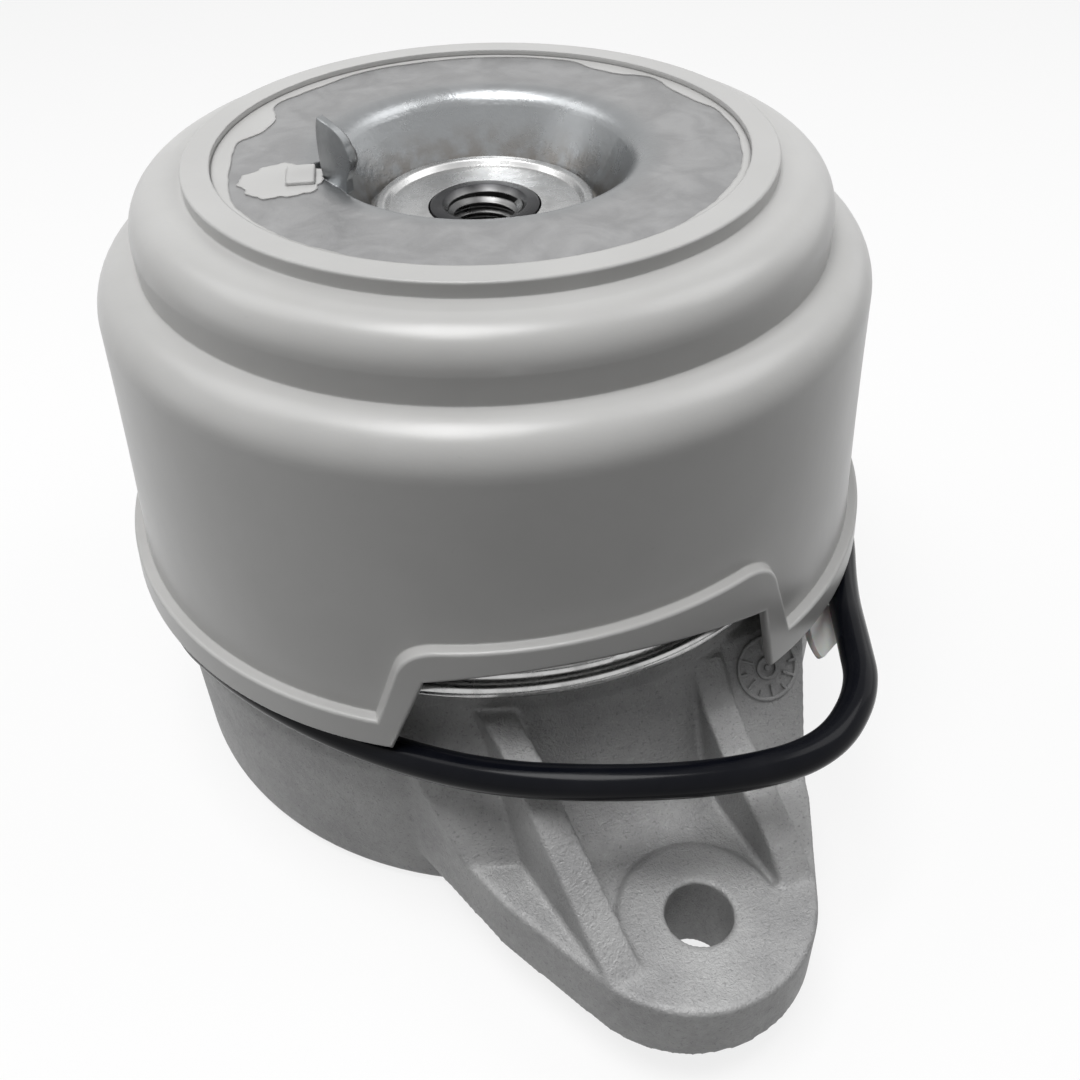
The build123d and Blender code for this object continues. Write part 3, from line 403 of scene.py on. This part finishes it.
# In millimetres: the skin's usual width, how far its edge wavers and its least width
FLASH_WIDTH = 1.15
FLASH_WAVER = 0.26
FLASH_LEAST = 0.15
random.seed(11)
flash_waves = [
    (count, random.uniform(0.0, 2 * math.pi), random.uniform(0.5, 1.0) / math.sqrt(count))
    for count in (3, 5, 8, 13, 19, 28, 41, 60, 88)
]
# Wide stretches of the skin: direction in degrees from +X, half width in degrees, reach in mm
FLASH_TONGUES = (
    (144.0, 9.0, 3.0),
    (157.0, 26.0, 1.7),
    (118.0, 9.0, 0.9),
    (36.0, 8.0, 2.2),
    (10.0, 9.0, 1.6),
)
PATCH_MIDDLE = Vector((-31.7, -1.1)) * MM
PATCH_ACROSS = 6.3 * MM
PATCH_ALONG = 6.0 * MM
PATCH_WAVES = ((5, 0.7, 0.05), (11, 0.0, 0.04), (23, 2.0, 0.02))
PLUG_MIDDLE = Vector((-28.8, -0.8)) * MM
PLUG_SIZE = Vector((4.2, 6.4)) * MM
PLUG_HEIGHT = 0.7 * MM
PLUG_TURN = math.radians(-14.0)
PLUG_EASING = 0.22 * MM


def ripple(turn, waves):
    """Sum of waves round a circle, each given by its count, its shift and its size."""
    return sum(size * math.sin(count * turn + shift) for count, shift, size in waves)


def flash_width(turn):
    """How far the skin runs in over the plate at an angle."""
    width = FLASH_WIDTH + FLASH_WAVER * ripple(turn, flash_waves)
    for middle, half, reach in FLASH_TONGUES:
        off = (math.degrees(turn) - middle + 180.0) % 360.0 - 180.0
        width += reach * math.exp(-((off / half) ** 4))
    return max(FLASH_LEAST, width) * MM


bpy.ops.mesh.primitive_circle_add(
    vertices=FLASH_SIDES, radius=FLASH_OUTER, location=(0.0, 0.0, PLATE_TOP)
)
flash = bpy.context.object
bpy.ops.object.mode_set(mode="EDIT")
bpy.ops.mesh.select_all(action="SELECT")
bpy.ops.mesh.extrude_region_move()
bpy.ops.object.mode_set(mode="OBJECT")
for vertex in flash.data.vertices[FLASH_SIDES:]:
    turn = math.atan2(vertex.co.y, vertex.co.x)
    vertex.co.xy = vertex.co.xy * (1.0 - flash_width(turn) / FLASH_OUTER)
face_outward()
bpy.ops.mesh.primitive_circle_add(
    vertices=72, radius=1.0, fill_type="NGON", location=(*PATCH_MIDDLE, PLATE_TOP)
)
patch = bpy.context.object
for vertex in patch.data.vertices:
    turn = math.atan2(vertex.co.y, vertex.co.x)
    rough = 1.0 + ripple(turn, PATCH_WAVES)
    vertex.co.x *= PATCH_ACROSS * rough
    vertex.co.y *= PATCH_ALONG * rough
plug_place = (*PLUG_MIDDLE, PLATE_TOP + 0.5 * PLUG_HEIGHT)
bpy.ops.mesh.primitive_plane_add(size=1.0, location=plug_place, rotation=(0.0, 0.0, PLUG_TURN))
plug = bpy.context.object
plug.scale = (PLUG_SIZE.x, PLUG_SIZE.y, 1.0)
only(plug)
bpy.ops.object.transform_apply(location=False, rotation=False, scale=True)
thicken(plug, PLUG_HEIGHT, PLUG_EASING)
flash = join([flash, patch])
carry_out(flash, "skin", "SOLIDIFY", thickness=FLASH_THICKNESS, offset=1.0)
flash = join([flash, plug])
put_away(flash, "moulding_flash")
widest_flash = max(flash_width(math.radians(angle)) for angle in range(360))
print("flash reaches in", round(widest_flash / MM, 1), "mm")

# %% [markdown]
# A moulded tab hangs inside the cap's rim by the hose and bends out under it as a cradle. It
# starts as a coarse grid of five rows, each set by its height and its two sides. The grid is
# rounded by subdivision and then thickened to the wall.

# %% Hose guide tab
TAB_TURN = math.radians(36.7)
TAB_WALL = 1.2 * MM
TAB_EASING = 0.25 * MM
TAB_COLUMNS = 6
# Height, then distance out from the axis and place across, for the left and the right side
TAB_ROWS = (
    (46.4, (64.9, -3.8), (64.9, 3.8)),
    (42.6, (64.9, -3.8), (64.9, 3.8)),
    (39.2, (65.4, -3.9), (65.6, 3.8)),
    (36.2, (66.8, -4.6), (67.2, 3.4)),
    (34.2, (69.4, -5.8), (70.6, 1.4)),
)
tab_out = Vector((math.sin(TAB_TURN), -math.cos(TAB_TURN), 0.0))
tab_across = Vector((math.cos(TAB_TURN), math.sin(TAB_TURN), 0.0))
tab_steps = len(TAB_ROWS) - 1
bpy.ops.mesh.primitive_grid_add(x_subdivisions=TAB_COLUMNS, y_subdivisions=tab_steps, size=2.0)
tab = bpy.context.object
for vertex in tab.data.vertices:
    height, left, right = TAB_ROWS[round((1.0 - vertex.co.y) / 2.0 * tab_steps)]
    out, across = Vector(left).lerp(Vector(right), (1.0 + vertex.co.x) / 2.0)
    vertex.co = (out * tab_out + across * tab_across + Vector((0.0, 0.0, height))) * MM
only(tab)
carry_out(tab, "rounding", "SUBSURF", levels=3)
thicken(tab, TAB_WALL, TAB_EASING)
face_outward()
bpy.ops.object.shade_smooth_by_angle(angle=math.radians(35))
put_away(tab, "guide_tab")
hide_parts("hose_guide_tab")

# %% [markdown]
# Every finish is a small tree of nodes. These helpers add one node at a time and give back
# its output, so that a finish reads as a recipe: noise, remapped, into colour or bump.

# %% Node helpers


def finish(name, colour, roughness=0.5, metallic=0.0):
    """A new material with one Principled shader. Its even values are set on the shader."""
    material = bpy.data.materials.new(name)
    material.use_nodes = True
    shader = material.node_tree.nodes["Principled BSDF"]
    shader.inputs["Base Color"].default_value = (*colour, 1.0)
    shader.inputs["Roughness"].default_value = roughness
    shader.inputs["Metallic"].default_value = metallic
    return material, shader


def place_on(material):
    """Object coordinates in millimetres."""
    nodes = material.node_tree.nodes
    coordinates = nodes.new("ShaderNodeTexCoord")
    mapping = nodes.new("ShaderNodeMapping")
    mapping.inputs["Scale"].default_value = (1000.0, 1000.0, 1000.0)
    material.node_tree.links.new(coordinates.outputs["Object"], mapping.inputs["Vector"])
    return mapping.outputs["Vector"]


def noise(material, vector, size, detail=4.0, rough=0.55, warp=0.0):
    """Noise whose lumps are about size millimetres across."""
    node = material.node_tree.nodes.new("ShaderNodeTexNoise")
    node.inputs["Scale"].default_value = 1.0 / size
    node.inputs["Detail"].default_value = detail
    node.inputs["Roughness"].default_value = rough
    node.inputs["Distortion"].default_value = warp
    material.node_tree.links.new(vector, node.inputs["Vector"])
    return node.outputs["Fac"]


def remap(material, value, low, high, to_low=0.0, to_high=1.0):
    """Straight remap of a value between two limits, clamped."""
    node = material.node_tree.nodes.new("ShaderNodeMapRange")
    node.inputs["From Min"].default_value = low
    node.inputs["From Max"].default_value = high
    node.inputs["To Min"].default_value = to_low
    node.inputs["To Max"].default_value = to_high
    material.node_tree.links.new(value, node.inputs["Value"])
    return node.outputs["Result"]


def calc(material, operation, first, second):
    """A sum, product, power or larger of two outputs, or of an output and a number."""
    node = material.node_tree.nodes.new("ShaderNodeMath")
    node.operation = operation
    for socket, value in zip(node.inputs, (first, second)):
        if isinstance(value, (int, float)):
            socket.default_value = value
        else:
            material.node_tree.links.new(value, socket)
    return node.outputs["Value"]


def blend_colours(material, share, first, second):
    """Colour that runs from the first to the second as share goes from 0 to 1."""
    node = material.node_tree.nodes.new("ShaderNodeMix")
    node.data_type = "RGBA"
    material.node_tree.links.new(share, node.inputs["Factor"])
    for socket, value in zip((node.inputs[6], node.inputs[7]), (first, second)):
        if isinstance(value, tuple):
            socket.default_value = (*value, 1.0)
        else:
            material.node_tree.links.new(value, socket)
    return node.outputs[2]


def tint(material, mask, strength, colour, tone):
    """Colour with a tone laid over it, at some strength, where the mask is 1."""
    share = calc(material, "MULTIPLY", mask, strength)
    return blend_colours(material, share, colour, tone)


def bump(material, height, depth, onto=None):
    """Bump of a height output, depth in millimetres, over another normal if given."""
    node = material.node_tree.nodes.new("ShaderNodeBump")
    node.inputs["Strength"].default_value = 1.0
    node.inputs["Distance"].default_value = depth * MM
    material.node_tree.links.new(height, node.inputs["Height"])
    if onto is not None:
        material.node_tree.links.new(onto, node.inputs["Normal"])
    return node.outputs["Normal"]


def soft_edges(material, radius):
    """Normal that rounds sharp edges by radius millimetres."""
    node = material.node_tree.nodes.new("ShaderNodeBevel")
    node.samples = 4
    node.inputs["Radius"].default_value = radius * MM
    return node.outputs["Normal"]


def feed(material, output, shader, socket):
    """Links an output to one socket of a shader."""
    material.node_tree.links.new(output, shader.inputs[socket])


def axis_part(material, axis):
    """One coordinate of the piece in millimetres."""
    node = material.node_tree.nodes.new("ShaderNodeSeparateXYZ")
    material.node_tree.links.new(place_on(material), node.inputs["Vector"])
    return node.outputs[axis]


def distance_from_axis(material):
    """Distance from the mount's axis in millimetres."""
    across = axis_part(material, "X")
    along = axis_part(material, "Y")
    across_squared = calc(material, "MULTIPLY", across, across)
    along_squared = calc(material, "MULTIPLY", along, along)
    return calc(material, "POWER", calc(material, "ADD", across_squared, along_squared), 0.5)


def dress(node, material):
    """Puts one material on a node or piece."""
    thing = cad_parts[node] if isinstance(node, str) else node
    thing.data.materials.clear()
    thing.data.materials.append(material)


# %% [markdown]
# The cap is moulded in a warm grey plastic with a soft gloss. Real mouldings are not quite
# even: the tone drifts over centimetres, the skin has a fine orange peel, and handling has
# left faint rubs that change the gloss more than the colour.

# %% Cap plastic
cap_plastic, cap_shader = finish("cap_plastic", (0.44, 0.438, 0.43), roughness=0.33)
cap_shader.inputs["Specular IOR Level"].default_value = 0.5
cap_place = place_on(cap_plastic)
cap_drift = remap(cap_plastic, noise(cap_plastic, cap_place, 24.0, detail=3.0), 0.35, 0.65)
cap_colour = blend_colours(cap_plastic, cap_drift, (0.425, 0.423, 0.416), (0.455, 0.453, 0.446))
cap_specks = remap(cap_plastic, noise(cap_plastic, cap_place, 1.1, detail=2.0), 0.72, 0.78)
cap_colour = tint(cap_plastic, cap_specks, 0.16, cap_colour, (0.30, 0.29, 0.28))
feed(cap_plastic, cap_colour, cap_shader, "Base Color")
cap_rubs = noise(cap_plastic, cap_place, 11.0, detail=2.0)
feed(cap_plastic, remap(cap_plastic, cap_rubs, 0.3, 0.7, 0.28, 0.32), cap_shader, "Roughness")
cap_edges = soft_edges(cap_plastic, 0.5)
cap_peel = bump(cap_plastic, noise(cap_plastic, cap_place, 2.2, detail=2.0), 0.02, cap_edges)
cap_grain = bump(cap_plastic, noise(cap_plastic, cap_place, 0.5, detail=2.0), 0.006, cap_peel)
feed(cap_plastic, cap_grain, cap_shader, "Normal")
dress("protective_cap", cap_plastic)
dress(flash, cap_plastic)

# %% [markdown]
# The base is die cast and then blasted with shot. The blasting leaves a field of tiny dents
# that catch the light as sparkle, with broad tone changes where the metal flowed. Light specks
# in the colour are painted glints, and dark specks are painted shade in the pores.

# %% Cast aluminium
cast_alu, cast_shader = finish("cast_aluminium", (0.31, 0.31, 0.31), roughness=0.5, metallic=0.2)
cast_place = place_on(cast_alu)
cast_drift = remap(cast_alu, noise(cast_alu, cast_place, 14.0, detail=5.0, rough=0.6), 0.3, 0.7)
cast_colour = blend_colours(cast_alu, cast_drift, (0.25, 0.25, 0.252), (0.37, 0.37, 0.37))
# Dark specks: painted shade in the casting's pores.
cast_pore_shade = remap(cast_alu, noise(cast_alu, cast_place, 0.55, detail=3.0), 0.58, 0.70)
cast_colour = tint(cast_alu, cast_pore_shade, 0.5, cast_colour, (0.12, 0.12, 0.12))
# Light specks: painted glints, a lighter colour standing in for the sparkle of the dents.
cast_painted_glints = remap(cast_alu, noise(cast_alu, cast_place, 0.42, detail=2.0), 0.60, 0.70)
cast_colour = tint(cast_alu, cast_painted_glints, 0.25, cast_colour, (0.5, 0.5, 0.5))
feed(cast_alu, cast_colour, cast_shader, "Base Color")
cast_gloss = remap(cast_alu, noise(cast_alu, cast_place, 1.2), 0.3, 0.7, 0.42, 0.6)
feed(cast_alu, cast_gloss, cast_shader, "Roughness")
cast_edges = soft_edges(cast_alu, 0.4)
cast_dents = noise(cast_alu, cast_place, 0.9, detail=2.0, warp=1.4)
cast_grit = noise(cast_alu, cast_place, 0.38, detail=2.0, warp=0.8)
cast_dented = bump(cast_alu, cast_dents, 0.16, cast_edges)
feed(cast_alu, bump(cast_alu, cast_grit, 0.10, cast_dented), cast_shader, "Normal")
dress("base_casting", cast_alu)
dress(cast_body, cast_alu)
dress(date_wheel, cast_alu)

# %% [markdown]
# The top plate is pressed from zinc-plated sheet. Its flat rim is dull and blotchy, and the
# funnel, stretched by the press, is brighter and smoother, with a darker, brownish ring at its
# foot.

# %% Zinc plate
zinc, zinc_shader = finish("zinc_plate", (0.30, 0.30, 0.30), roughness=0.4, metallic=0.9)
zinc_place = place_on(zinc)
zinc_radius = distance_from_axis(zinc)
zinc_flat = remap(zinc, zinc_radius, 25.0, 29.0)
zinc_clouds = noise(zinc, zinc_place, 7.0, detail=6.0, rough=0.65, warp=0.6)
zinc_blotch = remap(zinc, zinc_clouds, 0.38, 0.62)
zinc_dull = blend_colours(zinc, zinc_blotch, (0.275, 0.275, 0.277), (0.325, 0.325, 0.327))
zinc_colour = blend_colours(zinc, zinc_flat, (0.26, 0.268, 0.274), zinc_dull)
# Darker and browner in patches towards the funnel's foot.
zinc_foot = remap(zinc, zinc_radius, 22.5, 19.4)
zinc_foot_patches = remap(zinc, noise(zinc, zinc_place, 3.0), 0.35, 0.6)
zinc_foot_darkening = calc(zinc, "MULTIPLY", zinc_foot, zinc_foot_patches)
zinc_colour = tint(zinc, zinc_foot_darkening, 0.7, zinc_colour, (0.16, 0.14, 0.12))
feed(zinc, zinc_colour, zinc_shader, "Base Color")
zinc_even = remap(zinc, zinc_flat, 0.0, 1.0, 0.26, 0.44)
zinc_uneven = calc(zinc, "MULTIPLY", zinc_blotch, 0.08)
feed(zinc, calc(zinc, "ADD", zinc_even, zinc_uneven), zinc_shader, "Roughness")
zinc_skin = bump(zinc, noise(zinc, zinc_place, 1.1, detail=5.0), 0.05, soft_edges(zinc, 0.3))
zinc_grain = bump(zinc, noise(zinc, zinc_place, 0.35, detail=2.0, warp=0.6), 0.022, zinc_skin)
feed(zinc, zinc_grain, zinc_shader, "Normal")
dress("top_plate", zinc)

# %% [markdown]
# Turned and rolled steel parts share one recipe and differ in tone: fine rings run round the
# axis, because both turning and spinning mark the metal that way. The insert is near black, and
# its thread is painted brighter, as painted light inside the shaded bore.

# %% Turned steels


def turned_steel(name, colour, roughness, ring_size=0.35, depth=0.012):
    """Metal with fine rings about the mount's axis and a little uneven gloss."""
    metal, shader = finish(name, colour, roughness=roughness, metallic=1.0)
    radius = distance_from_axis(metal)
    height = axis_part(metal, "Z")
    steps = metal.node_tree.nodes.new("ShaderNodeTexNoise")
    steps.noise_dimensions = "1D"
    steps.inputs["Scale"].default_value = 1.0 / ring_size
    metal.node_tree.links.new(calc(metal, "ADD", radius, height), steps.inputs["W"])
    rings = steps.outputs["Fac"]
    spots = noise(metal, place_on(metal), 2.5, detail=5.0)
    darker = tuple(0.72 * part for part in colour)
    tone = blend_colours(metal, remap(metal, spots, 0.45, 0.75), colour, darker)
    gloss = remap(metal, spots, 0.3, 0.7, 0.8 * roughness, 1.3 * roughness)
    feed(metal, tone, shader, "Base Color")
    feed(metal, gloss, shader, "Roughness")
    feed(metal, bump(metal, rings, depth, soft_edges(metal, 0.2)), shader, "Normal")
    return metal


bright_steel = turned_steel("bright_steel", (0.46, 0.46, 0.458), 0.26)
dark_steel = turned_steel("dark_steel", (0.045, 0.045, 0.047), 0.30, depth=0.02)
dark_shader = dark_steel.node_tree.nodes["Principled BSDF"]
# The thread is painted brighter than the insert's face: painted light inside the shaded bore.
thread_painted_light_zone = remap(dark_steel, distance_from_axis(dark_steel), 6.9, 5.9)
thread_painted_light_colour = blend_colours(dark_steel, thread_painted_light_zone, (0.035, 0.035, 0.037), (0.12, 0.12, 0.12))
feed(dark_steel, thread_painted_light_colour, dark_shader, "Base Color")
can_steel = turned_steel("can_steel", (0.52, 0.52, 0.515), 0.24)
ring_steel = turned_steel("ring_steel", (0.42, 0.42, 0.43), 0.42)
clamp_steel = turned_steel("clamp_steel", (0.50, 0.50, 0.52), 0.30)
brass = turned_steel("nipple_brass", (0.62, 0.48, 0.24), 0.28)
plate_alu = turned_steel("plate_aluminium", (0.64, 0.64, 0.65), 0.36)
for node, metal in (
    ("seat_washer", bright_steel),
    ("threaded_insert", dark_steel),
    (insert, dark_steel),
    ("can", can_steel),
    ("bonding_ring", ring_steel),
    ("bellows_ring", ring_steel),
    ("plate_rivets", bright_steel),
    ("hose_clamps", clamp_steel),
    ("air_nipple", brass),
    ("vent_nipple", brass),
    ("upper_nozzle_plate", plate_alu),
    ("lower_nozzle_plate", plate_alu),
    ("core", plate_alu),
):
    dress(node, metal)
print("metal parts dressed")

# %% [markdown]
# Rubber: the hose is extruded and glossy, with a slight bloom; the moulded spring, bellows,
# seal, membrane and buffer are duller, with a fine matt skin from the mould.

# %% Rubbers


def rubber(name, colour, gloss, dull, skin, bloom_tone=0.02):
    """Black rubber whose gloss varies with a soft bloom over centimetres."""
    material, shader = finish(name, colour, roughness=gloss)
    place = place_on(material)
    bloom = remap(material, noise(material, place, 9.0, detail=5.0), 0.4, 0.7)
    grey = tuple(part + bloom_tone for part in colour)
    feed(material, blend_colours(material, bloom, colour, grey), shader, "Base Color")
    feed(material, remap(material, bloom, 0.0, 1.0, gloss, dull), shader, "Roughness")
    feed(material, bump(material, noise(material, place, 0.6, detail=3.0), skin), shader, "Normal")
    return material


hose_rubber = rubber("hose_rubber", (0.003, 0.0035, 0.006), 0.15, 0.22, 0.004, bloom_tone=0.003)
hose_shader = hose_rubber.node_tree.nodes["Principled BSDF"]
hose_shader.inputs["Specular IOR Level"].default_value = 0.1
black_rubber = rubber("black_rubber", (0.022, 0.022, 0.022), 0.48, 0.62, 0.03)
dress(hose, hose_rubber)
for node in ("rubber_spring", "stop_buffer", "decoupler_membrane", "plate_seal", "bellows"):
    dress(node, black_rubber)

# %% [markdown]
# The little guide tab is natural nylon: milky, slightly see-through at its edges, which the
# shader's subsurface value gives, with faint mould marks.

# %% Natural nylon
nylon, nylon_shader = finish("natural_nylon", (0.78, 0.77, 0.74), roughness=0.32)
nylon_place = place_on(nylon)
nylon_milk = remap(nylon, noise(nylon, nylon_place, 3.5, detail=3.0), 0.35, 0.65)
nylon_colour = blend_colours(nylon, nylon_milk, (0.84, 0.83, 0.81), (0.90, 0.89, 0.87))
feed(nylon, nylon_colour, nylon_shader, "Base Color")
nylon_shader.inputs["Subsurface Weight"].default_value = 0.3
nylon_shader.inputs["Subsurface Scale"].default_value = 2.0 * MM
feed(nylon, bump(nylon, noise(nylon, nylon_place, 1.2), 0.02), nylon_shader, "Normal")
dress("hose_guide_tab", nylon)
dress(tab, nylon)

# %% [markdown]
# The stage: a pale floor that takes the mount's shadow, a white surround for the camera and
# for reflections, and five soft lamps, of which the one overhead is the strongest. The surround
# lights the object only a little, so the upright skirt stays darker than the top, as it does in
# a room lit from above.

# %% Floor, surround and lamps
FLOOR_SIZE = 6.0
FLOOR_DROP = 0.05 * MM
# Tone of the floor for light that bounces, tone for the camera, and the glow the camera sees
FLOOR_DIM = 0.14
FLOOR_BRIGHT = 0.90
FLOOR_GLOW = 0.82
SURROUND_LIGHT = 0.07
WHITE = (1.0, 1.0, 1.0, 1.0)
LAMP_TARGET = (0.0, -0.02, 0.07)


def seen_rays(paint):
    """1 for rays from the camera and for reflected or see-through rays, and 0 for the rest."""
    rays = paint.node_tree.nodes.new("ShaderNodeLightPath")
    seen = rays.outputs["Is Camera Ray"]
    for name in ("Is Glossy Ray", "Is Transmission Ray"):
        seen = calc(paint, "MAXIMUM", seen, rays.outputs[name])
    return seen


bpy.ops.mesh.primitive_plane_add(size=FLOOR_SIZE, location=(0.0, 0.0, -FLOOR_DROP))
floor = bpy.context.object
floor.name = "floor"
floor_paint, floor_shader = finish("floor_paint", (0.8, 0.8, 0.8), roughness=0.9)
floor_nodes = floor_paint.node_tree.nodes
floor_seen = seen_rays(floor_paint)
floor_tone = remap(floor_paint, floor_seen, 0.0, 1.0, FLOOR_DIM, FLOOR_BRIGHT)
feed(floor_paint, floor_tone, floor_shader, "Base Color")
floor_glow = floor_nodes.new("ShaderNodeEmission")
floor_glow.inputs["Color"].default_value = WHITE
floor_mix = floor_nodes.new("ShaderNodeMixShader")
feed(floor_paint, calc(floor_paint, "MULTIPLY", floor_seen, FLOOR_GLOW), floor_mix, "Fac")
feed(floor_paint, floor_shader.outputs["BSDF"], floor_mix, 1)
feed(floor_paint, floor_glow.outputs["Emission"], floor_mix, 2)
feed(floor_paint, floor_mix.outputs["Shader"], floor_nodes["Material Output"], "Surface")
floor.data.materials.append(floor_paint)

world = bpy.data.worlds.new("surround")
world.use_nodes = True
bpy.context.scene.world = world
backdrop = world.node_tree.nodes["Background"]
backdrop.inputs["Color"].default_value = WHITE
feed(world, remap(world, seen_rays(world), 0.0, 1.0, SURROUND_LIGHT, 1.0), backdrop, "Strength")


def softbox(name, place, size, power):
    """A square area lamp that looks at the mount."""
    bpy.ops.object.light_add(type="AREA", location=place)
    lamp = bpy.context.object
    lamp.name = name
    lamp.data.size = size
    lamp.data.energy = power
    towards = Vector(LAMP_TARGET) - Vector(place)
    lamp.rotation_euler = towards.to_track_quat("-Z", "Y").to_euler()


softbox("lamp_overhead", (-0.13, -0.08, 0.80), 0.36, 4.6)
softbox("lamp_back_left", (-0.40, 0.25, 0.65), 0.40, 1.2)
softbox("lamp_back_right", (0.42, -0.10, 0.60), 0.35, 1.2)
softbox("lamp_left", (-0.65, 0.10, 0.24), 0.40, 0.4)
softbox("lamp_right", (0.65, 0.10, 0.30), 0.40, 0.35)
print("stage and lamps set")
